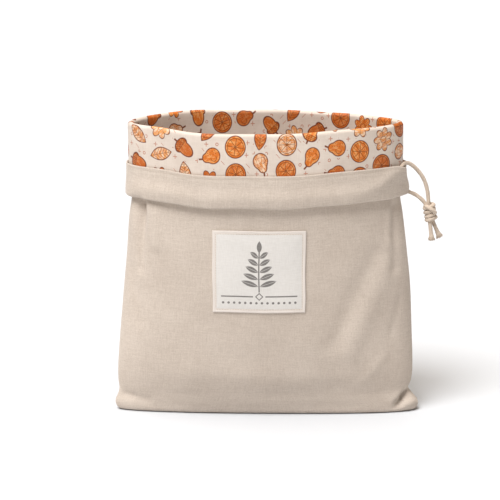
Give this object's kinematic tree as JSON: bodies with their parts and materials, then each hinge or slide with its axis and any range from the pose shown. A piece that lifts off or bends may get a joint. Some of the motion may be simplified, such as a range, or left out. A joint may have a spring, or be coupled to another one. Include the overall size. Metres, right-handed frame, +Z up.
{
  "type": "waxed-cloth lined bread bag",
  "caption": "Upright canvas bread bag with a printed waxed lining, its mouth folded outward into a deep cuff with a knotted drawstring at one side.",
  "frame": {"origin": "under the middle of the bag, on the surface that it stands on", "axes": "+Z up, +X to the side where the drawstring comes out, -Y towards the front with the label"},
  "size_m": [0.3285, 0.1397, 0.2977],
  "materials": {
    "canvas": "plain-woven natural cotton and linen canvas, undyed beige, matt",
    "waxed_lining": "cotton coated with beeswax, pale cream with an orange and rust print, slight sheen",
    "woven_label": "fine woven label, warm white, matt",
    "cotton_cord": "braided natural cotton cord, matt"
  },
  "bodies": {
    "root": {"outer_front": "canvas", "outer_back": "canvas", "lining_front": "waxed_lining", "lining_back": "waxed_lining", "label": "woven_label", "drawstring_in_casing": "cotton_cord", "strand_upper": "cotton_cord", "strand_lower": "cotton_cord", "knot": "cotton_cord", "tail_left": "cotton_cord", "tail_right": "cotton_cord"}
  },
  "joints": []
}
